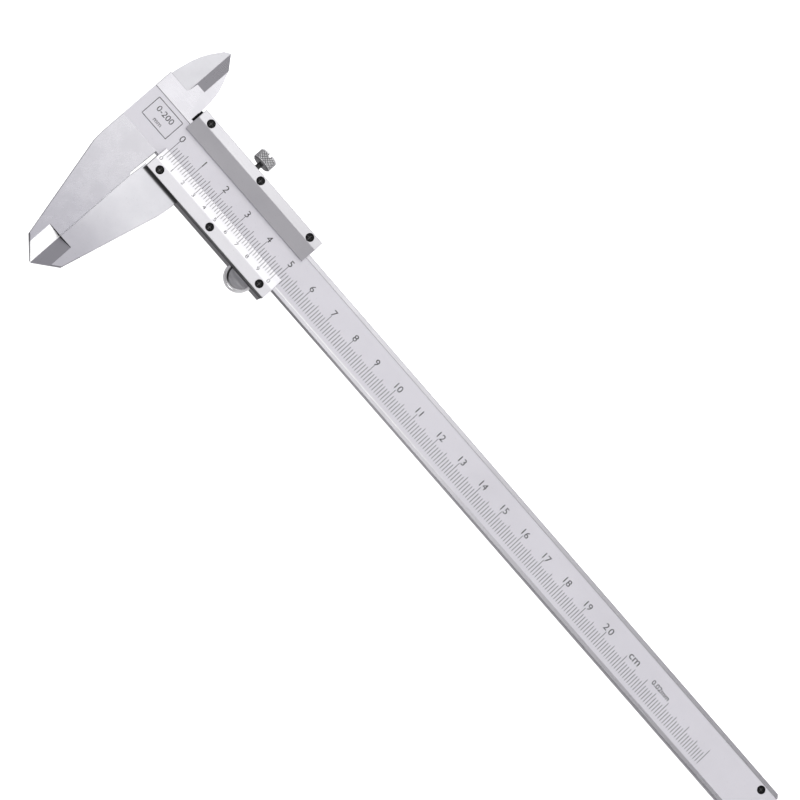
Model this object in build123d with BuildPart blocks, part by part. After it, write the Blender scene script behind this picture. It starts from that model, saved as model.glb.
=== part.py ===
from build123d import *
import os

# Vernier caliper, 0 to 200 mm, lying on its back with the jaws closed.
# X runs along the beam towards the tail, Y towards the inside jaws and Z out
# of the graduated face.  The origin is under the zero graduation, on the
# centre line of the beam, in the plane that the slider's back rests on.

# Levels above the rest plane
BACK_PLATE_TOP = 2.0
RUN_GAP = 0.05
BEAM_BACK = BACK_PLATE_TOP + RUN_GAP
BEAM_THICKNESS = 3.5
BEAM_FRONT = BEAM_BACK + BEAM_THICKNESS
WALL_TOP = BEAM_FRONT + RUN_GAP
PLATE_THICKNESS = 2.6
PLATE_TOP = WALL_TOP + PLATE_THICKNESS
BLADE_SPLIT = 3.8
BLADE_GAP = 0.06
EDGE_BREAK = 0.15

# Beam
BEAM_WIDTH = 16.0
BEAM_END = 276.4
RAIL_WIDTH = 1.4
SCALE_RECESS = 0.1
ROD_GROOVE_WIDTH = 3.8
ROD_GROOVE_DEPTH = 2.0
ROD_GROOVE_START = 34.0

# Head and jaws
HEAD_LEFT = -17.6
HEAD_TOP = 12.75
HEAD_RIGHT = -2.65
MEASURING_FACE = -2.3
FACE_GAP = 0.06
RELIEF_LEFT = -2.8
RELIEF_RIGHT = -1.4
RELIEF_END = -17.6
RELIEF_ROOT = -6.95
JAW_TIP = -57.35
JAW_TAPER = 0.24
TIP_SHOULDER = -45.6
TIP_BEVEL_WIDTH = 4.7
TIP_EDGE_THICKNESS = 1.25
INSIDE_EDGE = -9.8
BLADE_TOP = 31.0
BLADE_SHOULDER = 16.35
BLADE_BEVEL_WIDTH = 3.5
BLADE_EDGE = 0.15
RUN_OUT_SLOPE = 0.12

# Slider
SLIDER_LEFT = -1.4
UPPER_PLATE_LEFT = -1.95
VERNIER_PLATE_LEFT = -1.3
SLIDER_RIGHT = 51.5
VERNIER_PLATE_RIGHT = 51.8
SLIDER_TOP = 12.8
SLIDER_BOTTOM = -12.6
JAW_ROOT_LEFT = -1.9
LOWER_WALL_INNER = -(BEAM_WIDTH / 2 + RUN_GAP)
UPPER_WALL_INNER = 9.05
UPPER_TOE = 4.8
UPPER_BEVEL_TOP = 9.45
UPPER_TOE_THICKNESS = 0.7
VERNIER_TOE = -3.9
VERNIER_BEVEL_TOP = -8.5
VERNIER_TOE_THICKNESS = 0.3
VERNIER_BOTTOM = -12.35

# Screws
SCREW_PITCH = 22.7
UPPER_SCREW_X = 24.85
UPPER_SCREW_Y = 11.0
VERNIER_SCREW_X = 25.1
VERNIER_SCREW_Y = -10.2
HEAD_RADIUS = 1.32
HEAD_HEIGHT = 1.0
SHANK_RADIUS = 0.78
FASTENER_GAP = 0.03
PLATE_SCREW_LENGTH = 5.0
TAIL_SCREW_LENGTH = 3.6

# Lock screw
LOCK_X = 21.2
LOCK_Z = 3.8
LOCK_HEAD_BASE = 15.25
LOCK_HEAD_HEIGHT = 3.85
LOCK_HEAD_CHAMFER = 0.5
LOCK_HEAD_RADIUS = 3.33
LOCK_NECK_RADIUS = 0.85
LOCK_SHANK_RADIUS = 1.0
LOCK_TIP = 10.1
SHOE_BASE = 8.68

# Thumb rest
THUMB_X = 42.63
THUMB_RADIUS = 4.85
THUMB_LOW = 0.4
THUMB_HIGH = 4.6
THUMB_FALL = 1.3
THUMB_EDGE = 0.85

# Depth rod and tail
ROD_START = 38.0
ROD_WIDTH = 3.2
ROD_TOP = 3.7
TAIL_PLATE_START = 257.0
TAIL_PLATE_END = 275.4
TAIL_PLATE_BACK = 0.45
TAIL_SCREW_X = 270.6
TAIL_SCREW_Y = 4.85


def screw_row(middle, y):
    """The three places of the screws in one slider plate."""
    return [(middle + i * SCREW_PITCH, y) for i in (-1, 0, 1)]


def across(x, y, z):
    """A plane whose normal points along +Y, with its own X along the beam."""
    return Plane(origin=(x, y, z), x_dir=(1, 0, 0), z_dir=(0, 1, 0))


UPPER_SCREWS = screw_row(UPPER_SCREW_X, UPPER_SCREW_Y)
VERNIER_SCREWS = screw_row(VERNIER_SCREW_X, VERNIER_SCREW_Y)
TAIL_SCREWS = [(TAIL_SCREW_X, TAIL_SCREW_Y), (TAIL_SCREW_X, -TAIL_SCREW_Y)]
ROD_RIVETS = [(41.5, 0), (47.5, 0)]
FIXED_FACE = MEASURING_FACE - FACE_GAP / 2
MOVING_FACE = MEASURING_FACE + FACE_GAP / 2
HALF = BEAM_WIDTH / 2

# Beam with the head, the fixed outside jaw and the fixed inside blade
with BuildPart() as beam:
    with BuildSketch(Plane.XY.offset(BEAM_BACK)):
        with BuildLine():
            Polyline(
                (BEAM_END - 1, HALF),
                (HEAD_RIGHT, HALF),
                (HEAD_RIGHT, HEAD_TOP),
                (HEAD_LEFT, HEAD_TOP),
                (HEAD_LEFT, -15.5),
            )
            Spline(
                (HEAD_LEFT, -15.5),
                (-16.35, -22.5),
                tangents=[(0, -1), (JAW_TAPER, -1)],
            )
            Polyline(
                (-16.35, -22.5),
                (-9.05, -52.0),
                (FIXED_FACE - 0.35, JAW_TIP),
                (FIXED_FACE, JAW_TIP),
                (FIXED_FACE, RELIEF_END),
                (RELIEF_LEFT, RELIEF_END + 0.6),
                (RELIEF_LEFT + 0.35, RELIEF_ROOT),
                (RELIEF_RIGHT, RELIEF_ROOT),
                (RELIEF_RIGHT, -HALF),
                (BEAM_END - 1, -HALF),
                (BEAM_END, -HALF + 1),
                (BEAM_END, HALF - 1),
                (BEAM_END - 1, HALF),
            )
        make_face()
    extrude(amount=BEAM_THICKNESS)
    chamfer(beam.edges().group_by(Axis.Z)[0], EDGE_BREAK)
    chamfer(beam.edges().group_by(Axis.Z)[-1], EDGE_BREAK)
    # Front half of the crossed inside jaws
    with BuildSketch(Plane.XY.offset(BLADE_SPLIT + BLADE_GAP / 2)):
        with BuildLine():
            Polyline(
                (HEAD_RIGHT, HEAD_TOP - 2),
                (-10.05, HEAD_TOP - 2),
                (-10.05, HEAD_TOP),
                (INSIDE_EDGE, HEAD_TOP + 0.5),
                (INSIDE_EDGE, BLADE_TOP - 0.2),
                (-6.35, 26.4),
            )
            Spline(
                (-6.35, 26.4),
                (-5.05, 23.5),
                (-3.7, 20.3),
                (-2.95, 16.8),
                (HEAD_RIGHT, HEAD_TOP - 0.5),
                tangents=[(0.42, -1), (0, -1)],
            )
            Line((HEAD_RIGHT, HEAD_TOP - 0.5), (HEAD_RIGHT, HEAD_TOP - 2))
        make_face()
    extrude(amount=BEAM_FRONT - BLADE_SPLIT - BLADE_GAP / 2)
    # Knife bevel of the inside blade
    with BuildSketch(across(INSIDE_EDGE, BLADE_SHOULDER, 0)):
        with BuildLine():
            Polyline(
                (-0.5, -BLADE_SPLIT - BLADE_GAP / 2 - BLADE_EDGE),
                (0, -BLADE_SPLIT - BLADE_GAP / 2 - BLADE_EDGE),
                (BLADE_BEVEL_WIDTH, -BEAM_FRONT),
                (BLADE_BEVEL_WIDTH, -BEAM_FRONT - 1),
                (-0.5, -BEAM_FRONT - 1),
                close=True,
            )
        make_face()
    extrude(amount=20, mode=Mode.SUBTRACT)
    # Run-out of that bevel down the edge of the blade
    run_out = Plane(
        origin=(INSIDE_EDGE, HEAD_TOP + 0.5, BEAM_FRONT),
        x_dir=(1, -RUN_OUT_SLOPE, 0),
        z_dir=(RUN_OUT_SLOPE, 1, 0),
    )
    with BuildSketch(run_out):
        with BuildLine():
            Polyline((0, 0), (-1, 1), (-1, -1), close=True)
        make_face()
    extrude(amount=BLADE_SHOULDER - HEAD_TOP, mode=Mode.SUBTRACT)
    # Knife bevel at the tip of the outside jaw
    with BuildSketch(across(FIXED_FACE, TIP_SHOULDER, 0)):
        with BuildLine():
            Polyline(
                (0.5, -BEAM_BACK - TIP_EDGE_THICKNESS),
                (0, -BEAM_BACK - TIP_EDGE_THICKNESS),
                (-TIP_BEVEL_WIDTH, -BEAM_FRONT),
                (-TIP_BEVEL_WIDTH, -BEAM_FRONT - 1),
                (0.5, -BEAM_FRONT - 1),
                close=True,
            )
        make_face()
    extrude(amount=-20, mode=Mode.SUBTRACT)
    # Graduated band, ground slightly below the two rails
    with BuildSketch(Plane.XY.offset(BEAM_FRONT)):
        with Locations(((HEAD_LEFT + BEAM_END) / 2, 0)):
            Rectangle(BEAM_END - HEAD_LEFT + 2, BEAM_WIDTH - 2 * RAIL_WIDTH)
    extrude(amount=-SCALE_RECESS, mode=Mode.SUBTRACT)
    # Groove for the depth rod
    with BuildSketch(Plane.XY.offset(BEAM_BACK)):
        with Locations(((ROD_GROOVE_START + BEAM_END) / 2 + 1, 0)):
            Rectangle(BEAM_END - ROD_GROOVE_START + 2, ROD_GROOVE_WIDTH)
    extrude(amount=ROD_GROOVE_DEPTH, mode=Mode.SUBTRACT)
    # Screw holes of the tail plate
    with Locations([(x, y, BEAM_FRONT - SCALE_RECESS) for x, y in TAIL_SCREWS]):
        CounterBoreHole(SHANK_RADIUS + FASTENER_GAP, HEAD_RADIUS + 0.08, HEAD_HEIGHT + 0.1, 6)
beam.part.label = "beam"

# Slider body: a channel round the beam with the moving jaw and blade
with BuildPart() as slider_body:
    with BuildSketch():
        with BuildLine():
            Polyline(
                (SLIDER_LEFT, SLIDER_BOTTOM),
                (SLIDER_RIGHT, SLIDER_BOTTOM),
                (SLIDER_RIGHT, SLIDER_TOP),
                (-9.0, SLIDER_TOP),
                (INSIDE_EDGE, 13.8),
                (INSIDE_EDGE, BLADE_TOP),
                (-11.7, 29.6),
            )
            Spline(
                (-11.7, 29.6),
                (-13.1, 27.2),
                (-14.7, 24.1),
                (-16.1, 19.8),
                (-17.0, 15.1),
                (-17.3, 11.5),
                tangents=[(-0.5, -1), (0, -1)],
            )
            Line((-17.3, 11.5), (-17.3, 6.0))
            RadiusArc((-17.3, 6.0), (-12.3, 1.0), -5.0)
            Polyline((-12.3, 1.0), (SLIDER_LEFT, 1.0), (SLIDER_LEFT, SLIDER_BOTTOM))
        make_face()
    extrude(amount=BLADE_SPLIT - BLADE_GAP / 2)
    chamfer(slider_body.edges().group_by(Axis.Z)[0], EDGE_BREAK)
    # Only the blade above the head keeps its full thickness
    with BuildSketch(Plane.XY.offset(BACK_PLATE_TOP)):
        with Locations((15, HEAD_TOP + 0.3 - 25)):
            Rectangle(100, 50)
    extrude(amount=BLADE_SPLIT, mode=Mode.SUBTRACT)
    # Side walls of the channel
    for low, high in ((SLIDER_BOTTOM, LOWER_WALL_INNER), (UPPER_WALL_INNER, SLIDER_TOP)):
        with BuildSketch(Plane.XY.offset(BACK_PLATE_TOP)):
            with Locations(((SLIDER_LEFT + SLIDER_RIGHT) / 2, (low + high) / 2)):
                Rectangle(SLIDER_RIGHT - SLIDER_LEFT, high - low)
        extrude(amount=WALL_TOP - BACK_PLATE_TOP)
    # Moving outside jaw
    with BuildSketch(Plane.XY.offset(BEAM_BACK)):
        with BuildLine():
            Polyline(
                (13.05, SLIDER_BOTTOM + 1),
                (13.05, -14.0),
            )
            Spline(
                (13.05, -14.0),
                (12.45, -19.5),
                tangents=[(0, -1), (-JAW_TAPER, -1)],
            )
            Polyline(
                (12.45, -19.5),
                (5.0, -51.65),
                (MOVING_FACE + 0.35, JAW_TIP),
                (MOVING_FACE, JAW_TIP),
                (MOVING_FACE, RELIEF_END),
                (JAW_ROOT_LEFT, SLIDER_BOTTOM),
                (JAW_ROOT_LEFT, SLIDER_BOTTOM + 1),
                (13.05, SLIDER_BOTTOM + 1),
            )
        make_face()
    extrude(amount=BEAM_THICKNESS)
    jaw_rims = slider_body.edges().filter_by(Plane.XY)
    jaw_rims = jaw_rims.filter_by_position(Axis.Y, JAW_TIP - 1, SLIDER_BOTTOM - 0.1)
    chamfer(jaw_rims, EDGE_BREAK)
    # Knife bevel at the tip of the outside jaw
    with BuildSketch(across(MOVING_FACE, TIP_SHOULDER, 0)):
        with BuildLine():
            Polyline(
                (-0.5, -BEAM_BACK - TIP_EDGE_THICKNESS),
                (0, -BEAM_BACK - TIP_EDGE_THICKNESS),
                (TIP_BEVEL_WIDTH, -BEAM_FRONT),
                (TIP_BEVEL_WIDTH, -BEAM_FRONT - 1),
                (-0.5, -BEAM_FRONT - 1),
                close=True,
            )
        make_face()
    extrude(amount=-20, mode=Mode.SUBTRACT)
    # Knife bevel of the inside blade, on its back
    with BuildSketch(across(INSIDE_EDGE, BLADE_SHOULDER, 0)):
        with BuildLine():
            Polyline(
                (0.5, -BLADE_SPLIT + BLADE_GAP / 2 + BLADE_EDGE),
                (0, -BLADE_SPLIT + BLADE_GAP / 2 + BLADE_EDGE),
                (-5.0, 0),
                (-5.0, 1),
                (0.5, 1),
                close=True,
            )
        make_face()
    extrude(amount=20, mode=Mode.SUBTRACT)
    # Tapped holes under the two plates
    with BuildSketch(Plane.XY.offset(WALL_TOP)):
        with Locations(UPPER_SCREWS + VERNIER_SCREWS):
            Circle(SHANK_RADIUS + FASTENER_GAP)
    extrude(amount=-4.2, mode=Mode.SUBTRACT)
    # Bore of the lock screw
    with BuildSketch(across(LOCK_X, UPPER_WALL_INNER - 0.5, LOCK_Z)):
        Circle(LOCK_SHANK_RADIUS + FASTENER_GAP)
    extrude(amount=SLIDER_TOP - UPPER_WALL_INNER + 1, mode=Mode.SUBTRACT)
    # Rivet holes of the depth rod
    with BuildSketch():
        with Locations(ROD_RIVETS):
            Circle(SHANK_RADIUS + FASTENER_GAP)
    extrude(amount=BACK_PLATE_TOP, mode=Mode.SUBTRACT)
    # Pin holes of the thumb rest
    with BuildSketch(across(THUMB_X, SLIDER_BOTTOM, 2.6)):
        with Locations((-2.4, 0), (2.4, 0)):
            Circle(0.6 + FASTENER_GAP)
    extrude(amount=2.6, mode=Mode.SUBTRACT)
slider_body.part.label = "slider_body"

# Upper plate, bevelled down towards the scale
with BuildPart() as upper_plate:
    with BuildSketch(Plane.YZ.offset(UPPER_PLATE_LEFT)):
        with BuildLine():
            Polyline(
                (UPPER_TOE, WALL_TOP),
                (UPPER_TOE, WALL_TOP + UPPER_TOE_THICKNESS),
                (UPPER_BEVEL_TOP, PLATE_TOP),
                (SLIDER_TOP, PLATE_TOP),
                (SLIDER_TOP, WALL_TOP),
                close=True,
            )
        make_face()
    extrude(amount=SLIDER_RIGHT - UPPER_PLATE_LEFT)
    chamfer(upper_plate.edges().filter_by_position(Axis.Z, WALL_TOP + 1, PLATE_TOP), EDGE_BREAK)
    with Locations([(x, y, PLATE_TOP) for x, y in UPPER_SCREWS]):
        CounterBoreHole(SHANK_RADIUS + FASTENER_GAP, HEAD_RADIUS + 0.06, HEAD_HEIGHT + 0.1, 4)
upper_plate.part.label = "upper_plate"

# Vernier plate, bevelled down to a thin edge beside the scale
with BuildPart() as vernier_plate:
    with BuildSketch(Plane.YZ.offset(VERNIER_PLATE_LEFT)):
        with BuildLine():
            Polyline(
                (VERNIER_TOE, WALL_TOP),
                (VERNIER_TOE, WALL_TOP + VERNIER_TOE_THICKNESS),
                (VERNIER_BEVEL_TOP, PLATE_TOP),
                (VERNIER_BOTTOM, PLATE_TOP),
                (VERNIER_BOTTOM, WALL_TOP),
                close=True,
            )
        make_face()
    extrude(amount=VERNIER_PLATE_RIGHT - VERNIER_PLATE_LEFT)
    chamfer(vernier_plate.edges().filter_by_position(Axis.Z, WALL_TOP + 1, PLATE_TOP), EDGE_BREAK)
    with Locations([(x, y, PLATE_TOP) for x, y in VERNIER_SCREWS]):
        CounterBoreHole(SHANK_RADIUS + FASTENER_GAP, HEAD_RADIUS + 0.06, HEAD_HEIGHT + 0.1, 4)
vernier_plate.part.label = "vernier_plate"


# Cross-recessed cheese-head screws of the two slider plates and the tail plate
SCREW_SETS = [
    ("upper_plate_screws", UPPER_SCREWS, PLATE_TOP - 0.05, PLATE_SCREW_LENGTH),
    ("vernier_plate_screws", VERNIER_SCREWS, PLATE_TOP - 0.05, PLATE_SCREW_LENGTH),
    ("tail_plate_screws", TAIL_SCREWS, BEAM_FRONT - SCALE_RECESS - 0.05, TAIL_SCREW_LENGTH),
]
os.makedirs("parts", exist_ok=True)
for screw_name, places, top, length in SCREW_SETS:
    with BuildPart() as screws:
        with BuildSketch(Plane.XY.offset(top)):
            with Locations(places):
                Circle(HEAD_RADIUS)
        extrude(amount=-HEAD_HEIGHT)
        chamfer(screws.faces().group_by(Axis.Z)[-1].edges(), 0.12)
        with BuildSketch(Plane.XY.offset(top - HEAD_HEIGHT)):
            with Locations(places):
                Circle(SHANK_RADIUS)
        extrude(amount=-length)
        with BuildSketch(Plane.XY.offset(top)):
            with Locations(places):
                Rectangle(1.7, 0.36)
                Rectangle(0.36, 1.7)
        extrude(amount=-0.55, mode=Mode.SUBTRACT)
    screws.part.label = screw_name
    export_step(screws.part, f"parts/{screw_name}.step")

# Bowed leaf spring between the beam and the upper wall
with BuildPart() as gib_strip:
    with BuildSketch(Plane.XY.offset(BEAM_BACK + 0.2)):
        with BuildLine():
            ThreePointArc((0, 8.5), (25, HALF + 0.06), (50, 8.5))
            Line((50, 8.5), (50, 8.95))
            ThreePointArc((50, 8.95), (25, HALF + 0.51), (0, 8.95))
            Line((0, 8.95), (0, 8.5))
        make_face()
    extrude(amount=BEAM_THICKNESS - 0.4)
gib_strip.part.label = "gib_strip"

# Lock screw with its large round head
with BuildPart() as lock_screw:
    with BuildSketch(across(LOCK_X, LOCK_HEAD_BASE, LOCK_Z)):
        Circle(LOCK_HEAD_RADIUS)
    extrude(amount=LOCK_HEAD_HEIGHT)
    chamfer(lock_screw.edges(), LOCK_HEAD_CHAMFER)
    with BuildSketch(across(LOCK_X, LOCK_HEAD_BASE, LOCK_Z)):
        Circle(LOCK_NECK_RADIUS)
    extrude(amount=LOCK_TIP - LOCK_HEAD_BASE)
    with BuildSketch(across(LOCK_X, LOCK_TIP, LOCK_Z)):
        Circle(LOCK_SHANK_RADIUS)
    extrude(amount=SLIDER_TOP - 0.2 - LOCK_TIP)
    with BuildSketch(across(LOCK_X, LOCK_HEAD_BASE + LOCK_HEAD_HEIGHT, LOCK_Z)):
        Rectangle(0.9, 8)
    extrude(amount=-1.0, mode=Mode.SUBTRACT)
lock_screw.part.label = "lock_screw"

# Brass shoe that the lock screw presses onto the leaf spring
with BuildPart() as lock_shoe:
    with BuildSketch(across(LOCK_X, SHOE_BASE, LOCK_Z)):
        Circle(LOCK_SHANK_RADIUS - 0.04)
    extrude(amount=LOCK_TIP - 0.05 - SHOE_BASE)
    chamfer(lock_shoe.faces().sort_by(Axis.Y)[0].edges(), 0.15)
lock_shoe.part.label = "lock_shoe"

# Half-round thumb rest on the lower edge of the slider
with BuildPart() as thumb_rest:
    with BuildSketch(Plane.XY.offset(THUMB_LOW)):
        with Locations((THUMB_X, SLIDER_BOTTOM + 0.2)):
            Circle(THUMB_RADIUS)
    extrude(amount=THUMB_HIGH - THUMB_LOW)
    # Face that falls away from the slider
    with BuildSketch(Plane.YZ.offset(THUMB_X - 6)):
        with BuildLine():
            Polyline(
                (SLIDER_BOTTOM, THUMB_HIGH),
                (SLIDER_BOTTOM - THUMB_RADIUS, THUMB_HIGH - THUMB_FALL),
                (SLIDER_BOTTOM - THUMB_RADIUS - 1, THUMB_HIGH - THUMB_FALL),
                (SLIDER_BOTTOM - THUMB_RADIUS - 1, THUMB_HIGH + 1),
                (SLIDER_BOTTOM, THUMB_HIGH + 1),
                close=True,
            )
        make_face()
    extrude(amount=12, mode=Mode.SUBTRACT)
    with BuildSketch(Plane.XY):
        with Locations((THUMB_X, SLIDER_BOTTOM + 5)):
            Rectangle(12, 10)
    extrude(amount=8, mode=Mode.SUBTRACT)
    rims = thumb_rest.edges().filter_by(GeomType.LINE, reverse=True)
    fillet(rims, THUMB_EDGE)
    with BuildSketch(across(THUMB_X, SLIDER_BOTTOM, 2.6)):
        with Locations((-2.4, 0), (2.4, 0)):
            Circle(0.6 + FASTENER_GAP)
    extrude(amount=-2.2, mode=Mode.SUBTRACT)
thumb_rest.part.label = "thumb_rest"

# Two dowel pins that hold the thumb rest
with BuildPart() as thumb_rest_pins:
    with BuildSketch(across(THUMB_X, SLIDER_BOTTOM - 2.1, 2.6)):
        with Locations((-2.4, 0), (2.4, 0)):
            Circle(0.6)
    extrude(amount=4.6)
thumb_rest_pins.part.label = "thumb_rest_pins"

# Depth rod, riveted to the slider's back plate
with BuildPart() as depth_rod:
    with BuildSketch(Plane.XY.offset(BACK_PLATE_TOP)):
        with Locations(((ROD_START + BEAM_END) / 2, 0)):
            Rectangle(BEAM_END - ROD_START, ROD_WIDTH)
    extrude(amount=ROD_TOP - BACK_PLATE_TOP)
    # Ground relief at the measuring end
    with BuildSketch(Plane.XY.offset(BACK_PLATE_TOP)):
        with Locations((BEAM_END - 1.6, ROD_WIDTH / 2)):
            Rectangle(4.4, 1.6)
    extrude(amount=ROD_TOP - BACK_PLATE_TOP, mode=Mode.SUBTRACT)
    with BuildSketch(Plane.XY.offset(BACK_PLATE_TOP)):
        with Locations(ROD_RIVETS):
            Circle(SHANK_RADIUS + FASTENER_GAP)
    extrude(amount=1.2, mode=Mode.SUBTRACT)
depth_rod.part.label = "depth_rod"

# Rivets of the depth rod
with BuildPart() as depth_rod_rivets:
    with BuildSketch(Plane.XY.offset(0.05)):
        with Locations(ROD_RIVETS):
            Circle(SHANK_RADIUS)
    extrude(amount=BACK_PLATE_TOP + 1.0)
depth_rod_rivets.part.label = "depth_rod_rivets"

# Stop plate on the back of the beam's tail, channelled for the depth rod
with BuildPart() as tail_plate:
    with BuildSketch(Plane.XY.offset(TAIL_PLATE_BACK)):
        with Locations(((TAIL_PLATE_START + TAIL_PLATE_END) / 2, 0)):
            Rectangle(TAIL_PLATE_END - TAIL_PLATE_START, BEAM_WIDTH - 1)
    extrude(amount=BEAM_BACK - TAIL_PLATE_BACK)
    chamfer(tail_plate.edges().filter_by(Axis.Z), 0.8)
    with BuildSketch(Plane.XY.offset(BEAM_BACK)):
        with Locations(((TAIL_PLATE_START + TAIL_PLATE_END) / 2, 0)):
            Rectangle(TAIL_PLATE_END - TAIL_PLATE_START, ROD_GROOVE_WIDTH)
    extrude(amount=-0.3, mode=Mode.SUBTRACT)
    with BuildSketch(Plane.XY.offset(TAIL_PLATE_BACK)):
        with Locations(TAIL_SCREWS):
            Circle(SHANK_RADIUS + FASTENER_GAP)
    extrude(amount=BEAM_BACK - TAIL_PLATE_BACK, mode=Mode.SUBTRACT)
tail_plate.part.label = "tail_plate"

for node in (
    beam,
    slider_body,
    upper_plate,
    vernier_plate,
    gib_strip,
    lock_screw,
    lock_shoe,
    thumb_rest,
    thumb_rest_pins,
    depth_rod,
    depth_rod_rivets,
    tail_plate,
):
    export_step(node.part, f"parts/{node.part.label}.step")
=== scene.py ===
import math
import bmesh
import bpy
from mathutils import Matrix, Vector


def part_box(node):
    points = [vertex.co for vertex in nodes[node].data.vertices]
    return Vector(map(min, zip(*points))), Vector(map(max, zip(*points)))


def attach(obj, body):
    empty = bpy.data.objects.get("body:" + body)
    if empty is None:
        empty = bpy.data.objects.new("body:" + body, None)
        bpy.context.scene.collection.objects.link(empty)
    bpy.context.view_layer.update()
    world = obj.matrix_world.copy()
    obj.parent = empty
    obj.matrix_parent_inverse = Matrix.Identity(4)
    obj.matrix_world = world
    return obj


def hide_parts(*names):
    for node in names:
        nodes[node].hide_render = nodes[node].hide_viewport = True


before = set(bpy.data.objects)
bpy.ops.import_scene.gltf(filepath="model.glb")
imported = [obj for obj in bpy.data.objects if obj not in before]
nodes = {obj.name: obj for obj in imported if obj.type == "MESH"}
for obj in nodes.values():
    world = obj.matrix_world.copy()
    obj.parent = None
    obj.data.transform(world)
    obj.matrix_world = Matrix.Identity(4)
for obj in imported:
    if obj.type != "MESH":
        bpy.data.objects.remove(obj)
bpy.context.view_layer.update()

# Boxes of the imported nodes, in metres
MM = 0.001
beam_low, beam_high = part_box("beam")
plate_low, plate_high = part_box("vernier_plate")
lock_low, lock_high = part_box("lock_screw")
rest_low, rest_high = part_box("thumb_rest")
tail_screw_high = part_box("tail_plate_screws")[1]

# Beam: the graduated band lies a step below the two rails
BEAM_HALF = 8 * MM
BAND_HALF = 6.6 * MM
BAND_TOP = beam_high.z - 0.1 * MM
UNDER_RAILS = beam_high.z - 0.05 * MM

# Outside jaws: each is thinned from its shoulder to its tip; painted shade darkens two of their
# edges
SHOULDER = -45.6 * MM
FIXED_TIP_EDGE = ((-9.05 * MM, -52.0 * MM), (-2.6 * MM, beam_low.y))
MOVING_JAW_EDGE = ((5.0 * MM, -51.65 * MM), (12.45 * MM, -19.5 * MM))
JAW_EDGE_WIDTH = 0.2 * MM

# Slider body: its left end, its lower edge, the moving jaw's right side and the inside blade's foot
SLIDER_LEFT = -1.45 * MM
BODY_EDGE = -12.6 * MM
JAW_ROOT_RIGHT = 13.2 * MM
BLADE_FOOT = 12.9 * MM

# Engraving: how far its fill stands over the steel, its lines and the main scale's numbers
FILL_DEPTH = 0.012 * MM
LINE_WIDTH = 0.16 * MM
DIGIT_HEIGHT = 2.25 * MM
DIGIT_MIDDLE = 1.85 * MM
DIGIT_FOOT = DIGIT_MIDDLE - DIGIT_HEIGHT / 2

# Lock screw, with its axis along Y
LOCK_AXIS = (lock_low + lock_high) / 2
LOCK_RADIUS = (lock_high.x - lock_low.x) / 2
HEAD_BASE = 15.25 * MM
KNURL_HALF = 1.35 * MM

# Thumb rest: half a disc, its middle a little inside the slider
REST_INSIDE = 0.2 * MM
REST_MIDDLE = ((rest_low.x + rest_high.x) / 2, rest_high.y + REST_INSIDE)
REST_RADIUS = REST_MIDDLE[1] - rest_low.y
REST_RIM = 0.95 * MM


# ---------------------------------------------------------------- shader maths

class Value:
    """A socket that can be used in sums; each operator adds one Math node."""

    def __init__(self, paint, socket):
        self.paint = paint
        self.socket = socket

    def sum(self, operation, *terms):
        node = self.paint.node("ShaderNodeMath", {"operation": operation}, dict(enumerate(terms)))
        return Value(self.paint, node.outputs[0])

    def __add__(self, other):
        return self.sum("ADD", self, other)

    def __sub__(self, other):
        return self.sum("SUBTRACT", self, other)

    def __mul__(self, other):
        return self.sum("MULTIPLY", self, other)

    def __rsub__(self, other):
        return self.sum("SUBTRACT", other, self)

    __radd__ = __add__
    __rmul__ = __mul__

    def above(self, level):
        return self.sum("GREATER_THAN", self, level)

    def below(self, level):
        return self.sum("LESS_THAN", self, level)

    def size(self):
        return self.sum("ABSOLUTE", self)

    def ramp(self, low, high):
        """0 at low and 1 at high, eased between them."""
        node = self.paint.node(
            "ShaderNodeMapRange",
            {"interpolation_type": "SMOOTHSTEP"},
            {"Value": self, "From Min": low, "From Max": high},
        )
        return Value(self.paint, node.outputs["Result"])


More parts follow.
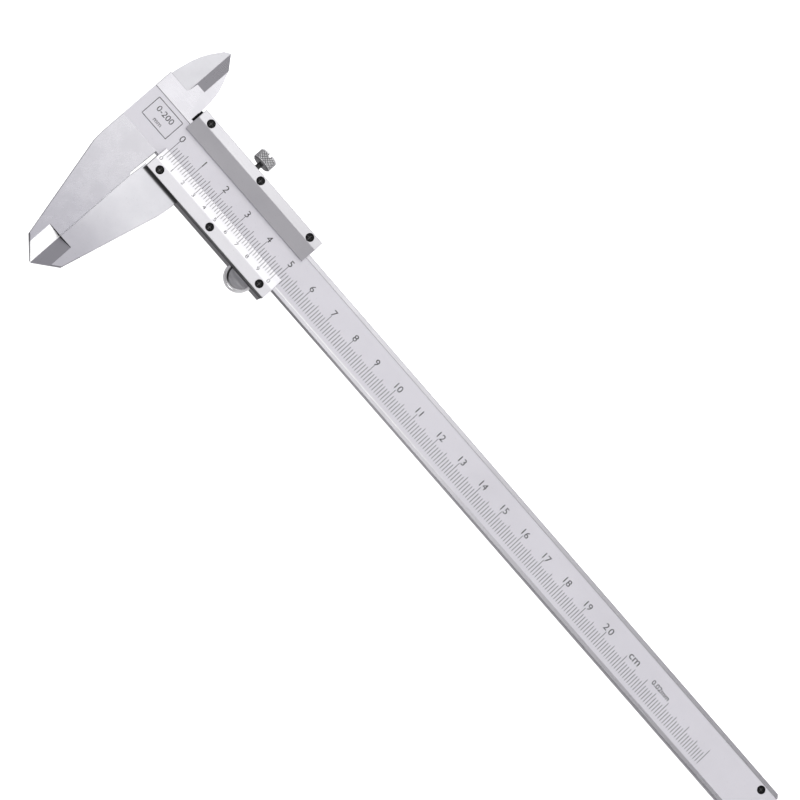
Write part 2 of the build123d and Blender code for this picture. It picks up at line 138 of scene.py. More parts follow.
class Paint:
    """One material, with its shader and the nodes that feed it."""

    def __init__(self, name, **fixed):
        self.material = bpy.data.materials.new(name)
        self.material.use_nodes = True
        self.tree = self.material.node_tree
        self.shader = self.tree.nodes["Principled BSDF"]
        for socket, value in fixed.items():
            self.shader.inputs[socket.replace("_", " ")].default_value = value
        place = self.node("ShaderNodeTexCoord")
        self.place = place.outputs["Object"]
        apart = self.node("ShaderNodeSeparateXYZ", {}, {"Vector": self.place})
        self.x, self.y, self.z = (Value(self, apart.outputs[i]) for i in range(3))

    def node(self, kind, settings=None, inputs=None):
        """A node with its settings made first, then its sockets set or linked."""
        node = self.tree.nodes.new(kind)
        for name, value in (settings or {}).items():
            setattr(node, name, value)
        for name, value in (inputs or {}).items():
            self.put(node.inputs[name], value)
        return node

    def put(self, socket, value):
        if isinstance(value, Value):
            value = value.socket
        if isinstance(value, bpy.types.NodeSocket):
            self.tree.links.new(value, socket)
        else:
            socket.default_value = value

    def stretched(self, x=1.0, y=1.0, z=1.0, turn=0.0):
        """Object coordinates scaled along each axis, after a turn about Z."""
        turned = self.node(
            "ShaderNodeMapping",
            {"vector_type": "POINT"},
            {"Vector": self.place, "Rotation": (0, 0, turn)},
        )
        scaled = self.node(
            "ShaderNodeVectorMath",
            {"operation": "MULTIPLY"},
            {0: turned.outputs[0], 1: (x, y, z)},
        )
        return scaled.outputs[0]

    def noise(self, vector, scale=1.0, detail=2.0, rough=0.5):
        node = self.node(
            "ShaderNodeTexNoise",
            {"noise_dimensions": "3D"},
            {"Vector": vector, "Scale": scale, "Detail": detail, "Roughness": rough},
        )
        return Value(self, node.outputs[0])

    def near_line(self, ends, reach):
        """1 within reach of the straight line through two points, seen from above."""
        start, end = Vector(ends[0]), Vector(ends[1])
        across = Vector((end.y - start.y, start.x - end.x)).normalized()
        past = self.x * across.x + self.y * across.y - across.dot(start)
        return past.size().below(reach)

    def mix(self, factor, first, second):
        """One colour where the factor is 0 and the other where it is 1."""
        node = self.node(
            "ShaderNodeMix",
            {"data_type": "RGBA"},
            {0: factor, 6: first, 7: second},
        )
        return node.outputs[2]

    def finish(self, colour, roughness=None, height=None, depth=0.0, metallic=None):
        """Links what varies over the surface to the shader."""
        varied = {"Base Color": colour, "Roughness": roughness, "Metallic": metallic}
        for socket, value in varied.items():
            if value is not None:
                self.put(self.shader.inputs[socket], value)
        if height is not None:
            bump = self.node(
                "ShaderNodeBump", {}, {"Height": height, "Strength": 1.0, "Distance": depth}
            )
            self.put(self.shader.inputs["Normal"], bump.outputs[0])
        return self.material


def grey(level):
    return (level, level, level, 1.0)


def worn(paint, clean, dull):
    """Colour with faint smears and darker specks, as handled steel has."""
    smears = paint.noise(paint.place, 60.0, 4.0, 0.6).ramp(0.35, 0.75)
    specks = paint.noise(paint.place, 2600.0, 2.0).ramp(0.66, 0.74)
    colour = paint.mix(smears, clean, dull)
    return paint.mix(specks * 0.25, colour, grey(dull[0] * 0.6))


# ------------------------------------------------------------------- finishes

def corner_dirt(paint, colour):
    """Painted shade in the corner where each outside jaw is thinned to its tip, along the step at
    its shoulder.
    """
    corner = (paint.y - SHOULDER).size().below(0.16 * MM) * paint.z.below(UNDER_RAILS)
    return paint.mix(corner, colour, grey(0.02))


def beam_marks(paint, colour):
    """Painted shade along the edges of the beam, its relief and its tip, a painted highlight on the
    band's lower step, and a darker stretch of the lower wall.
    """
    # Painted shade: a dark line along the step from the band up to the upper rail, darker past the
    # zero line
    past_zero = paint.x.below(0)
    upper_step = (paint.y - BAND_HALF).size().below(0.11 * MM)
    colour = paint.mix(upper_step * (0.25 + past_zero * 0.4), colour, grey(0.06))
    # Painted highlight: a bright line along the band's lower step, fading out towards the tail
    lower_step = (paint.y + BAND_HALF).size().below(0.2 * MM)
    painted_step_highlight = lower_step * (1 - paint.x.ramp(100 * MM, 150 * MM)) * paint.x.above(0)
    colour = paint.mix(painted_step_highlight, colour, grey(0.98))
    # The beam's lower wall is darker from 40 mm, fading out between 55 mm and 95 mm
    lower_wall = paint.y.below(0.05 * MM - BEAM_HALF)
    darker_wall = lower_wall * paint.x.above(40 * MM) * (1 - paint.x.ramp(55 * MM, 95 * MM))
    colour = paint.mix(darker_wall * 0.65, colour, grey(0.1))
    # Painted shade: a dark line along the relief's left edge, which leans a little from upright
    relief_x, relief_y, lean = -2.75 * MM, -16.5 * MM, 0.035
    relief = (paint.x - relief_x - (paint.y - relief_y) * lean).size().below(0.1 * MM)
    relief = relief * paint.y.below(-6.9 * MM) * paint.y.above(-17.2 * MM)
    colour = paint.mix(relief * 0.7, colour, grey(0.08))
    # Painted shade: a dark line along the left edge of the fixed jaw's tip
    tip = paint.near_line(FIXED_TIP_EDGE, JAW_EDGE_WIDTH) * paint.y.below(FIXED_TIP_EDGE[0][1])
    colour = paint.mix(tip * 0.8, colour, grey(0.1))
    return corner_dirt(paint, colour)


def satin_beam_steel():
    """Beam: fine satin band between two ground rails, ground head and jaw."""
    paint = Paint("satin_beam_steel", Metallic=1.0)
    down = 0 - paint.y
    band = paint.y.size().below(BAND_HALF) * paint.z.above(BAND_TOP - 0.04 * MM)
    on_top = paint.z.above(UNDER_RAILS)
    # Grinding lines run along the beam, and across its jaw
    along = paint.noise(paint.stretched(60.0, 4200.0, 900.0), 1.0, 3.0)
    across = paint.noise(paint.stretched(2600.0, 500.0, 900.0, 0.5), 1.0, 4.0)
    on_jaw = down.ramp(8 * MM, 9 * MM)
    ground = along * (1 - on_jaw) + across * on_jaw
    grain = paint.noise(paint.place, 5200.0, 3.0, 0.7)
    cloud = paint.noise(paint.place, 150.0, 3.0, 0.6).ramp(0.3, 0.7)
    # Painted shade makes the steel darker towards the tail, where the rails reflect less light; it
    # is also darker past the zero line, but for the head's top face
    steel = worn(paint, (0.72, 0.715, 0.735, 1.0), (0.665, 0.66, 0.685, 1.0))
    steel = paint.mix(paint.x.ramp(100 * MM, 190 * MM), steel, (0.62, 0.615, 0.635, 1.0))
    steel = paint.mix(paint.x.below(0), steel, (0.65, 0.645, 0.67, 1.0))
    head = paint.y.ramp(BAND_HALF - 0.1 * MM, BAND_HALF + 0.1 * MM) * paint.x.below(0) * on_top
    steel = paint.mix(head, steel, (0.73, 0.725, 0.75, 1.0))
    # The jaw's lapped steel takes over down to its tip, where the thinned bevel is painted bright
    # as a highlight, for it faces the light
    lapped = worn(paint, (0.53, 0.525, 0.56, 1.0), (0.48, 0.475, 0.515, 1.0))
    thinned = paint.y.below(SHOULDER) * (1 - on_top)
    lapped = paint.mix(thinned, lapped, grey(0.86))
    satin = worn(paint, (0.88, 0.87, 0.905, 1.0), (0.845, 0.835, 0.87, 1.0))
    colour = paint.mix(band, paint.mix(down.ramp(7 * MM, 46 * MM), steel, lapped), satin)
    colour = beam_marks(paint, colour)
    roughness = band * (0.5 + grain * 0.12) + (1 - band) * (0.2 + ground * 0.1 + cloud * 0.06)
    height = band * grain * 0.5 + (1 - band) * ground * 0.5
    return paint.finish(colour, roughness, height, 0.004 * MM)


def slider_marks(paint, colour):
    """Painted shade on the lower wall, beside the vernier plate, the head and the jaw's edge."""
    # Painted shade: the slider's lower wall, facing away from the light, is darkened right of the
    # jaw
    wall = (paint.y - BODY_EDGE).size().below(0.2 * MM) * paint.x.above(JAW_ROOT_RIGHT)
    colour = paint.mix(wall * 0.9, colour, grey(0.1))
    # Painted shadow of the thumb rest, darker still on the lower wall above it
    from_rest = (paint.x - REST_MIDDLE[0]).size()
    over_rest = 1 - from_rest.ramp(REST_RADIUS - 0.6 * MM, REST_RADIUS + 0.6 * MM)
    colour = paint.mix(over_rest * wall * 0.6, colour, grey(0.02))
    # Painted shade and reflection: the jaw face darkens towards the vernier plate's lower wall
    along_plate = paint.y.ramp(BODY_EDGE - 1.0 * MM, BODY_EDGE - 0.3 * MM) * paint.y.below(0)
    along_plate = along_plate * paint.x.above(SLIDER_LEFT) * paint.x.below(JAW_ROOT_RIGHT)
    colour = paint.mix(along_plate * 0.9, colour, grey(0.04))
    # Painted shade: a dark line along the moving jaw's edge below the shoulder
    jaw_edge = paint.near_line(MOVING_JAW_EDGE, JAW_EDGE_WIDTH) * paint.y.below(SHOULDER)
    colour = paint.mix(jaw_edge * 0.45, colour, grey(0.15))
    # Painted shade: near black in the narrow slot between the head and the slider's left end
    by_head = paint.x.ramp(SLIDER_LEFT - 1.75 * MM, SLIDER_LEFT - 1.35 * MM)
    by_head = by_head * paint.x.below(SLIDER_LEFT + 0.15 * MM) * paint.y.above(6 * MM)
    colour = paint.mix(by_head, colour, grey(0.012))
    return corner_dirt(paint, colour)


def ground_slider_steel():
    """Slider body and moving jaw: ground, with lines across the jaw."""
    paint = Paint("ground_slider_steel", Metallic=1.0)
    across = paint.noise(paint.stretched(2600.0, 500.0, 900.0, -0.3), 1.0, 4.0)
    blotch = paint.noise(paint.place, 90.0, 3.0)
    steel = worn(paint, (0.77, 0.77, 0.79, 1.0), (0.70, 0.70, 0.725, 1.0))
    tip = worn(paint, (0.55, 0.545, 0.58, 1.0), (0.5, 0.495, 0.53, 1.0))
    blade = worn(paint, (0.68, 0.68, 0.70, 1.0), (0.60, 0.60, 0.62, 1.0))
    colour = paint.mix((0 - paint.y).ramp(24 * MM, 46 * MM), steel, tip)
    thinned = paint.y.below(SHOULDER) * paint.z.below(UNDER_RAILS)
    colour = paint.mix(thinned, colour, (0.575, 0.57, 0.605, 1.0))
    colour = paint.mix(paint.y.above(BLADE_FOOT), colour, blade)
    colour = slider_marks(paint, colour)
    return paint.finish(colour, 0.22 + across * 0.1 + blotch * 0.06, across * 0.5, 0.004 * MM)


def chromed_plate():
    """Slider plates: pale satin chrome with lines along the plate and painted shade on the vernier
    plate's lower wall.
    """
    paint = Paint("chromed_plate", Metallic=1.0)
    along = paint.noise(paint.stretched(80.0, 3800.0, 3800.0), 1.0, 3.0)
    grain = paint.noise(paint.place, 4800.0, 2.0, 0.6)
    colour = worn(paint, (0.82, 0.815, 0.83, 1.0), (0.775, 0.77, 0.79, 1.0))
    bevel = paint.y.ramp(-8.5 * MM, -5.0 * MM) * paint.y.below(0)
    colour = paint.mix(bevel, colour, (0.70, 0.695, 0.71, 1.0))
    on_top = paint.z.above(plate_high.z - 0.05 * MM)
    to_tail = paint.x.ramp(4 * MM, 52 * MM) * paint.y.above(0) * on_top
    colour = paint.mix(to_tail, colour, (0.73, 0.725, 0.74, 1.0))
    # Painted shade: the vernier plate's lower wall, facing away from the light, is darkened
    lower_edge = (0 - paint.y).above(12.3 * MM) * paint.x.below(60 * MM)
    colour = paint.mix(lower_edge * 0.85, colour, grey(0.12))
    return paint.finish(colour, 0.26 + along * 0.1 + grain * 0.06, along, 0.003 * MM)


def blued_screw():
    """Black oxide, painted greyer inside the cross recess as a highlight."""
    paint = Paint("blued_screw", Metallic=0.0, Coat_Weight=0.08, Coat_Roughness=0.15)
    grain = paint.noise(paint.place, 3000.0, 3.0)
    rubbed = paint.noise(paint.place, 900.0, 4.0, 0.7).ramp(0.6, 0.75)
    colour = paint.mix(rubbed, (0.003, 0.003, 0.0035, 1), (0.012, 0.012, 0.012, 1))
    # The recess is found by its depth below the top of the screws, which are lower at the tail
    at_tail = paint.x.above(200 * MM)
    sunk = at_tail * (tail_screw_high.z - plate_high.z) + plate_high.z - paint.z
    recess = sunk.above(0.4 * MM) * sunk.below(1.0 * MM)
    # Painted highlight: the recess floor is painted grey
    colour = paint.mix(recess, colour, grey(0.22))
    paint.shader.inputs["Specular IOR Level"].default_value = 0.15
    return paint.finish(colour, 0.3 + grain * 0.2, grain, 0.01 * MM)


def polished_rest():
    """Thumb rest: polished rim round a duller scored face, painted shade in the corner between."""
    paint = Paint("polished_rest", Metallic=1.0)
    scored = paint.noise(paint.stretched(120.0, 3200.0, 3200.0), 1.0, 3.0)
    blotch = paint.noise(paint.stretched(300.0, 1500.0, 1500.0), 1.0, 4.0, 0.7)
    across, up = paint.x - REST_MIDDLE[0], paint.y - REST_MIDDLE[1]
    from_middle = across * across + up * up
    face = from_middle.below((REST_RADIUS - REST_RIM) ** 2)
    dull = paint.mix(blotch.ramp(0.3, 0.7), (0.62, 0.62, 0.635, 1), (0.44, 0.44, 0.455, 1))
    colour = paint.mix(face, grey(0.95), dull)
    # The rim's outer edge is ground, not polished, and made less metallic so it shows lighter, more
    # so towards the right end as a painted highlight; painted shade fills the corner inside it,
    # most on the left
    edge = from_middle.ramp((REST_RADIUS - 0.75 * MM) ** 2, (REST_RADIUS - 0.6 * MM) ** 2)
    left = 1 - across.ramp(-2.6 * MM, -0.2 * MM)
    corner = from_middle.ramp((REST_RADIUS - 1.5 * MM) ** 2, (REST_RADIUS - 1.25 * MM) ** 2)
    crescent_shade = corner * (1 - edge) * (left * 0.8 + 0.15) * (1 - across.ramp(1.0 * MM, 2.6 * MM))
    colour = paint.mix(crescent_shade, colour, grey(0.012))
    # Painted highlight: the outer edge loses more metal towards the right end, so it shows white
    # there
    metallic = 1 - edge * (0.15 + across.ramp(0.5 * MM, 3.4 * MM) * 0.5)
    roughness = 0.1 + scored * 0.08 + face * 0.16 + edge * 0.06
    return paint.finish(colour, roughness, scored * face, 0.006 * MM, metallic)


def knurled_steel():
    """Bright points of the knurl, with painted shade between them and on the neck."""
    paint = Paint("knurled_steel", Metallic=0.7)
    grain = paint.noise(paint.place, 3600.0, 3.0, 0.7)
    worn_spots = paint.noise(paint.place, 700.0, 4.0, 0.7).ramp(0.4, 0.8)
    across, up = paint.x - LOCK_AXIS.x, paint.z - LOCK_AXIS.z
    from_axis = across * across + up * up
    point = from_axis.ramp((LOCK_RADIUS - 0.16 * MM) ** 2, (LOCK_RADIUS - 0.08 * MM) ** 2)
    end = (paint.y - (HEAD_BASE + lock_high.y) / 2).size().above(KNURL_HALF)
    # Painted shade in the valleys of the knurl
    valley = (1 - point) * (1 - end)
    colour = paint.mix(worn_spots, grey(0.96), grey(0.82))
    colour = paint.mix(valley, colour, grey(0.10))
    # Painted shade on the low side of the head and on its neck
    low_side = paint.y.below(HEAD_BASE + 0.45 * MM)
    neck = paint.y.below(HEAD_BASE - 0.05 * MM)
    colour = paint.mix(low_side * 0.8 + neck * 0.18, colour, grey(0.03))
    return paint.finish(colour, 0.24 + grain * 0.14, grain, 0.006 * MM)


def rod_steel():
    """Depth rod, its rivets and the thumb rest's pins: drawn along their length."""
    paint = Paint("rod_steel", Metallic=1.0)
    along = paint.noise(paint.stretched(50.0, 3600.0, 3600.0), 1.0, 3.0)
    colour = worn(paint, grey(0.7), grey(0.6))
    return paint.finish(colour, 0.24 + along * 0.16, along, 0.004 * MM)


def rolled_bronze():
    """Leaf spring: rolled along its length, tarnished in patches."""
    paint = Paint("rolled_bronze", Metallic=1.0)
    along = paint.noise(paint.stretched(60.0, 3600.0, 3600.0), 1.0, 3.0)
    tarnish = paint.noise(paint.place, 300.0, 4.0, 0.6).ramp(0.4, 0.8)
    colour = paint.mix(tarnish, (0.72, 0.45, 0.2, 1), (0.42, 0.26, 0.13, 1))
    return paint.finish(colour, 0.28 + along * 0.2, along, 0.004 * MM)


def turned_brass():
    """Shoe under the lock screw: turned, tarnished in patches."""
    paint = Paint("turned_brass", Metallic=1.0)
    rings = paint.noise(paint.stretched(500.0, 5200.0, 500.0), 1.0, 2.0)
    tarnish = paint.noise(paint.place, 500.0, 3.0).ramp(0.45, 0.8)
    colour = paint.mix(tarnish, (0.8, 0.6, 0.26, 1), (0.5, 0.36, 0.16, 1))
    return paint.finish(colour, 0.24 + rings * 0.2, rings, 0.006 * MM)


def engraving_fill(name, deep, faded):
    """Dark wax in engraved lines and numbers, rubbed thin in places."""
    paint = Paint(name, Metallic=0.0)
    grain = paint.noise(paint.place, 4000.0, 3.0)
    rubbed = paint.noise(paint.place, 900.0, 3.0, 0.6).ramp(0.4, 0.7)
    colour = paint.mix(rubbed, grey(deep), grey(faded))
    paint.shader.inputs["Specular IOR Level"].default_value = 0.2
    return paint.finish(colour, 0.5 + grain * 0.2, grain, 0.004 * MM)


BEAM_STEEL = satin_beam_steel()
SLIDER_STEEL = ground_slider_steel()
PLATE_CHROME = chromed_plate()
BLUED = blued_screw()
POLISHED = polished_rest()
KNURLED = knurled_steel()
ROD_STEEL = rod_steel()
BRONZE = rolled_bronze()
BRASS = turned_brass()
SCALE_FILL = engraving_fill("scale_fill", 0.02, 0.20)
VERNIER_FILL = engraving_fill("vernier_fill", 0.05, 0.28)

NODE_FINISH = {
    "beam": BEAM_STEEL,
    "slider_body": SLIDER_STEEL,
    "upper_plate": PLATE_CHROME,
    "vernier_plate": PLATE_CHROME,
    "tail_plate": PLATE_CHROME,
    "upper_plate_screws": BLUED,
    "vernier_plate_screws": BLUED,
    "tail_plate_screws": BLUED,
    "lock_screw": KNURLED,
    "lock_shoe": BRASS,
    "gib_strip": BRONZE,
    "thumb_rest": POLISHED,
    "thumb_rest_pins": ROD_STEEL,
    "depth_rod": ROD_STEEL,
    "depth_rod_rivets": ROD_STEEL,
}
for name, finish in NODE_FINISH.items():
    mesh = nodes[name].data
    mesh.materials.clear()
    mesh.materials.append(finish)


# ---------------------------------------------------------------- new pieces

def solid(name, bm, finish):
    """A mesh as an object at the origin, in one finish."""
    mesh = bpy.data.meshes.new(name)
    bm.to_mesh(mesh)
    bm.free()
    mesh.materials.append(finish)
    thing = bpy.data.objects.new(name, mesh)
    bpy.context.scene.collection.objects.link(thing)
    return thing


def piece(name, bm, finish, body):
    """A piece of the caliper, riding on a body."""
    thing = solid(name, bm, finish)
    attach(thing, body)
    return thing


def bar(bm, centre, size, lean=None):
    """A box of the given size, leaned if asked, put at its centre."""
    place = Matrix.Translation(centre)
    if lean is not None:
        place = place @ lean
    bmesh.ops.create_cube(bm, size=1.0, matrix=place @ Matrix.Diagonal((*size, 1.0)))


def written(bm, words, height, place, spacing=1.0, weight=0.0):
    """Text as a thin solid, centred on the origin of place, its capitals as high as height."""
    capital, thickness, widened = 0.729, 0.02, 1.07
    curve = bpy.data.curves.new("words", "FONT")
    curve.body = words
    curve.align_x = "CENTER"
    curve.size = 1.0
    curve.extrude = thickness / 2
    curve.offset = weight
    curve.space_character = spacing
    curve.resolution_u = 4
    holder = bpy.data.objects.new("words", curve)
    bpy.context.scene.collection.objects.link(holder)
    bpy.context.view_layer.update()
    mesh = bpy.data.meshes.new_from_object(holder)
    scale = height / capital
    mesh.transform(Matrix.Translation((0, -capital / 2, 0)))
    mesh.transform(Matrix.Diagonal((scale * widened, scale, FILL_DEPTH / thickness, 1.0)))
    mesh.transform(place)
    bm.from_mesh(mesh)
    bpy.data.objects.remove(holder)
    bpy.data.curves.remove(curve)
    bpy.data.meshes.remove(mesh)


def on_band(x, y):
    return Matrix.Translation((x, y, BAND_TOP))


def main_scale_lines():
    """A line each millimetre of the beam, longer at 5 mm and longest at 10 mm."""
    bm = bmesh.new()
    last, foot = 250, -5.1 * MM
    tops = {0: 0.65 * MM, 5: -0.3 * MM}
    for step in range(last + 1):
        top = tops.get(step % 10, -1.2 * MM)
        centre = Vector((step * MM, (top + foot) / 2, BAND_TOP))
        bar(bm, centre, (LINE_WIDTH, top - foot, FILL_DEPTH))
    return bm


def main_scale_numbers():
    """Centimetre numbers, then the unit and the vernier's step, all on one foot line."""
    bm = bmesh.new()
    last = 20
    for number in range(last + 1):
        spacing = 1.35 if number == last else 1.0
        place = on_band(number * 10 * MM, DIGIT_MIDDLE)
        written(bm, str(number), DIGIT_HEIGHT, place, spacing)
    unit_height, step_height = 2.6 * MM, 1.65 * MM
    written(bm, "cm", unit_height, on_band(212.6 * MM, DIGIT_FOOT + unit_height / 2))
    step_place = on_band(225.4 * MM, DIGIT_FOOT + step_height / 2)
    written(bm, "0.02mm", step_height, step_place, weight=0.008)
    return bm


def range_panel():
    """Generic panel on the head: a thin frame round the caliper's range."""
    bm = bmesh.new()
    middle = Vector((-8.8 * MM, 1.4 * MM, BAND_TOP))
    wide, high, line = 10.6 * MM, 7.2 * MM, 0.22 * MM
    for side in (-1, 1):
        bar(bm, middle + Vector((0, side * high / 2, 0)), (wide, line, FILL_DEPTH))
        bar(bm, middle + Vector((side * wide / 2, 0, 0)), (line, high, FILL_DEPTH))
    written(bm, "0-200", 2.0 * MM, on_band(middle.x, middle.y + 1.3 * MM))
    written(bm, "mm", 1.5 * MM, on_band(middle.x, middle.y - 1.9 * MM))
    return bm


def vernier_lines():
    """Vernier: 50 divisions over 49 mm, on the bevel of the vernier plate."""
    bm = bmesh.new()
    foot = Vector((0, -3.9 * MM, plate_low.z + 0.3 * MM))
    head = Vector((0, -8.5 * MM, plate_high.z))
    slope = (head - foot).normalized()
    tilt = Matrix.Rotation(math.atan2(-slope.z, -slope.y), 4, "X")
    divisions = 50
    pitch = 49 * MM / divisions
    for step in range(divisions + 1):
        long = 2.1 * MM if step % 5 else 2.9 * MM
        centre = foot + slope * long / 2 + Vector((step * pitch, 0, 0))
        bar(bm, centre, (LINE_WIDTH, long, FILL_DEPTH), tilt)
    for tenth in range(11):
        centre = foot + slope * 3.85 * MM + Vector((tenth * 5 * pitch, 0, 0))
        written(bm, str(tenth % 10), 1.55 * MM, Matrix.Translation(centre) @ tilt)
    return bm


def turned(profile, steps):
    """A closed solid turned about Y from (radius, y) points that start and end on the axis."""
    bm = bmesh.new()
    points = [bm.verts.new((radius, y, 0)) for radius, y in profile]
    edges = [bm.edges.new(pair) for pair in zip(points, points[1:])]
    bmesh.ops.spin(
        bm,
        geom=points + edges,
        cent=(0, 0, 0),
        axis=(0, 1, 0),
        angle=math.tau,
        steps=steps,
        use_merge=True,
    )
    bmesh.ops.remove_doubles(bm, verts=bm.verts, dist=1e-7)
    return bm


def cap(bm, verts, normal):
    """One flat face through the given corners, taken in order round their middle."""
    middle = sum((v.co for v in verts), Vector()) / len(verts)
    first = (verts[0].co - middle).normalized()
    second = normal.cross(first)
    ring = sorted(
        verts,
        key=lambda v: math.atan2((v.co - middle).dot(second), (v.co - middle).dot(first)),
    )
    bm.faces.new(ring)


def knurled_lock_screw():
    """Round head with cut diamonds, a chamfer at each end and a slot, on its shank."""
    base, top = HEAD_BASE, lock_high.y
    around, rows = 52, 7
    deep = 0.17 * MM
    rim = 0.5 * MM
    neck, shank, shank_top = 0.85 * MM, 1.0 * MM, 12.6 * MM
    profile = [(0.0, lock_low.y), (shank, lock_low.y), (shank, shank_top), (neck, shank_top)]
    profile += [(neck, base), (LOCK_RADIUS - rim, base)]
    step_y = (top - base - 2 * rim) / rows
    profile += [(LOCK_RADIUS, base + rim + step_y * row) for row in range(rows + 1)]
    profile += [(LOCK_RADIUS - rim, top), (0.0, top)]
    bm = turned(profile, around)
    for vert in bm.verts:
        from_axis = math.hypot(vert.co.x, vert.co.z)
        if from_axis > LOCK_RADIUS - rim / 2:
            column = round(math.atan2(vert.co.z, vert.co.x) / math.tau * around)
            row = round((vert.co.y - base - rim) / step_y)
            if (column + row) % 2:
                vert.co.x *= 1 - deep / from_axis
                vert.co.z *= 1 - deep / from_axis
    # Each patch of the knurl is folded along the line between its two low corners
    for face in list(bm.faces):
        if len(face.verts) == 4:
            ordered = sorted(face.verts, key=lambda v: math.hypot(v.co.x, v.co.z))
            low = [v for v in ordered if math.hypot(v.co.x, v.co.z) < LOCK_RADIUS - deep / 2]
            if len(low) == 2 and not bm.edges.get(low):
                bmesh.utils.face_split(face, low[0], low[1])
    # Slot across the end of the head
    half_slot, floor = 0.45 * MM, top - 1.0 * MM
    for place, normal in (
        ((-half_slot, 0, 0), (1, 0, 0)),
        ((half_slot, 0, 0), (1, 0, 0)),
        ((0, floor, 0), (0, 1, 0)),
    ):
        bmesh.ops.bisect_plane(
            bm,
            geom=bm.verts[:] + bm.edges[:] + bm.faces[:],
            dist=1e-8,
            plane_co=place,
            plane_no=normal,
        )
    middles = {face: face.calc_center_median() for face in bm.faces}
    inside = [face for face, at in middles.items() if abs(at.x) < half_slot and at.y > floor]
    bmesh.ops.delete(bm, geom=inside, context="FACES")
    open_verts = [v for v in bm.verts if v.is_boundary]
    for side in (-1, 1):
        wall = [v for v in open_verts if abs(v.co.x - side * half_slot) < 1e-7]
        cap(bm, wall, Vector((1, 0, 0)))
    cap(bm, [v for v in open_verts if abs(v.co.y - floor) < 1e-7], Vector((0, 1, 0)))
    bmesh.ops.translate(bm, verts=bm.verts, vec=(LOCK_AXIS.x, 0, LOCK_AXIS.z))
    bmesh.ops.recalc_face_normals(bm, faces=bm.faces)
    return bm


def half_round_rest():
    """Half disc with a scored face that falls away from the slider, inside a rolled rim."""
    wall_y = rest_high.y
    face_level, fall = rest_high.z - 0.3 * MM, 1.3 * MM
    steps = 64
    # Distance in from the rim and height, above the face or above the foot
    rim_section = [
        (REST_RIM, 0.0),
        (0.85 * MM, 0.08 * MM),
        (0.7 * MM, 0.1 * MM),
        (0.5 * MM, 0.06 * MM),
        (0.32 * MM, -0.05 * MM),
        (0.16 * MM, -0.24 * MM),
        (0.05 * MM, -0.46 * MM),
        (0.0, -0.8 * MM),
    ]
    foot_section = [(0.0, 0.8 * MM), (0.1 * MM, 0.36 * MM), (0.36 * MM, 0.1 * MM), (0.8 * MM, 0.0)]
    bm = bmesh.new()
    rings = []
    for section, above_face in ((rim_section, True), (foot_section, False)):
        for inward, height in section:
            radius = REST_RADIUS - inward
            start = math.asin(REST_INSIDE / radius)
            ring = []
            for step in range(steps + 1):
                turn = start + (math.pi - 2 * start) * step / steps
                x = REST_MIDDLE[0] - radius * math.cos(turn)
                y = REST_MIDDLE[1] - radius * math.sin(turn)
                z = rest_low.z + height
                if above_face:
                    z = face_level - fall * (wall_y - y) / REST_RADIUS + height
                ring.append(bm.verts.new((x, y, z)))
            rings.append(ring)
    for outer, inner in zip(rings, rings[1:]):
        for i in range(steps):
            bm.faces.new((outer[i], outer[i + 1], inner[i + 1], inner[i])).smooth = True
    face = bm.faces.new(rings[0])
    bm.faces.new(rings[-1])
    bm.faces.new([ring[0] for ring in rings] + [ring[-1] for ring in reversed(rings)])
    bmesh.ops.recalc_face_normals(bm, faces=bm.faces)
    # Shallow scored lines along the face, each a narrow groove with its middle sunk
    pitch, half_width, depth = 0.36 * MM, 0.05 * MM, 0.04 * MM
    strips = [face]
    for line in range(1, int((wall_y - rest_low.y - REST_RIM) / pitch) + 1):
        for side in (1, 0, -1):
            cut_y = wall_y - line * pitch + side * half_width
            geom = set(strips)
            for strip in strips:
                geom.update(strip.edges)
                geom.update(strip.verts)
            made = bmesh.ops.bisect_plane(
                bm, geom=list(geom), dist=1e-8, plane_co=(0, cut_y, 0), plane_no=(0, 1, 0)
            )
            strips = [part for part in made["geom"] if isinstance(part, bmesh.types.BMFace)]
            if side == 0:
                for part in made["geom_cut"]:
                    if isinstance(part, bmesh.types.BMVert):
                        part.co.z -= depth
    for edge in bm.edges:
        edge.smooth = all(near.smooth for near in edge.link_faces)
    return bm


piece("main_scale_lines", main_scale_lines(), SCALE_FILL, "beam_body")
piece("main_scale_numbers", main_scale_numbers(), SCALE_FILL, "beam_body")
piece("range_panel", range_panel(), SCALE_FILL, "beam_body")
piece("vernier_lines", vernier_lines(), VERNIER_FILL, "slider")
lock = piece("knurled_lock_screw", knurled_lock_screw(), KNURLED, "lock")
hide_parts("lock_screw")
rest = piece("scored_thumb_rest", half_round_rest(), POLISHED, "slider")
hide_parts("thumb_rest")


# --------------------------------------------------------------- surroundings

def paper_floor():
    """White paper just under the caliper's back face, glowing enough to stay white."""
    bm = bmesh.new()
    bmesh.ops.create_grid(bm, x_segments=1, y_segments=1, size=6.0)
    paint = Paint("white_paper", Roughness=0.9)
    fibres = paint.noise(paint.place, 500.0, 3.0)
    paint.shader.inputs["Emission Color"].default_value = (1, 1, 1, 1)
    paint.shader.inputs["Emission Strength"].default_value = 1.0
    floor = solid("floor", bm, paint.finish(paint.mix(fibres, grey(0.88), grey(0.90))))
    floor.location.z = -0.05 * MM
    floor.visible_glossy = False


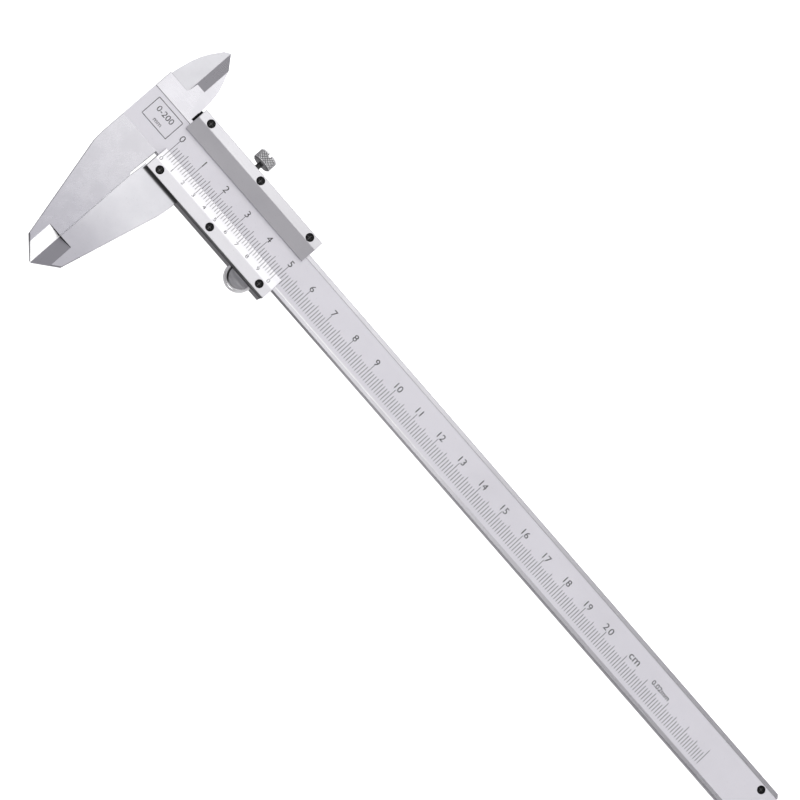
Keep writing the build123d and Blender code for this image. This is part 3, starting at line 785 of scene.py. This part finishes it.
def dark_skirt():
    """A dark band round the room, seen only in the metal, low on the camera's side."""
    bm = bmesh.new()
    radius, low, high = 2.6, -0.15, 0.75
    first_turn, sweep, steps = 215, 110, 24
    pairs = []
    for step in range(steps + 1):
        turn = math.radians(first_turn + sweep * step / steps)
        x, y = radius * math.cos(turn), radius * math.sin(turn)
        pairs.append((bm.verts.new((x, y, low)), bm.verts.new((x, y, high))))
    for (a, b), (c, d) in zip(pairs, pairs[1:]):
        bm.faces.new((a, c, d, b))
    paint = Paint("dark_cloth", Roughness=1.0)
    weave = paint.noise(paint.place, 300.0, 2.0)
    skirt = solid("dark_skirt", bm, paint.finish(paint.mix(weave, grey(0.01), grey(0.03))))
    skirt.visible_camera = False
    skirt.visible_diffuse = False
    skirt.visible_shadow = False


def soft_box(name, place, aim, size, brightness):
    """An area light at a place, facing a point; brightness is what a mirror shows of it."""
    data = bpy.data.lights.new(name, "AREA")
    data.shape = "RECTANGLE"
    data.size, data.size_y = size
    data.energy = brightness * math.pi * size[0] * size[1]
    light = bpy.data.objects.new(name, data)
    bpy.context.scene.collection.objects.link(light)
    light.location = place
    light.rotation_mode = "QUATERNION"
    light.rotation_quaternion = (Vector(aim) - Vector(place)).to_track_quat("-Z", "Y")


paper_floor()
dark_skirt()
MIDDLE = (0.12, 0.0, 0.0)
soft_box("overhead", (-0.12, 0.45, 1.25), (0.05, 0.1, 0.0), (1.15, 0.85), 0.9)
soft_box("from_behind", (0.1, 1.1, 0.55), MIDDLE, (1.6, 0.8), 1.15)
soft_box("low_front", (0.15, -1.3, 0.7), MIDDLE, (0.5, 0.32), 3.6)
soft_box("from_tail", (1.3, 0.2, 0.55), MIDDLE, (0.8, 1.2), 1.3)

world = bpy.data.worlds.new("studio")
bpy.context.scene.world = world
world.use_nodes = True
world.node_tree.nodes["Background"].inputs["Color"].default_value = (0.97, 0.95, 1.0, 1)
world.node_tree.nodes["Background"].inputs["Strength"].default_value = 0.42

# Camera over the head end, tilted towards the jaws
RIGHT = Vector((0.651895, 0.724326, 0.224466))
BACK = Vector((-0.117528, -0.195924, 0.973551))
UP = BACK.cross(RIGHT).normalized()
RIGHT = UP.cross(BACK).normalized()
CAMERA_TURN = Matrix((RIGHT, UP, BACK.normalized())).transposed().to_4x4()
CAMERA_PLACE = (-0.0053036, -0.181263, 0.903967)
camera_data = bpy.data.cameras.new("camera")
camera_data.sensor_width = 36.0
camera_data.lens = 135.77
camera_data.clip_start = 0.01
camera = bpy.data.objects.new("camera", camera_data)
bpy.context.scene.collection.objects.link(camera)
camera.matrix_world = Matrix.Translation(CAMERA_PLACE) @ CAMERA_TURN
bpy.context.scene.camera = camera
bpy.context.scene.view_settings.view_transform = "Standard"
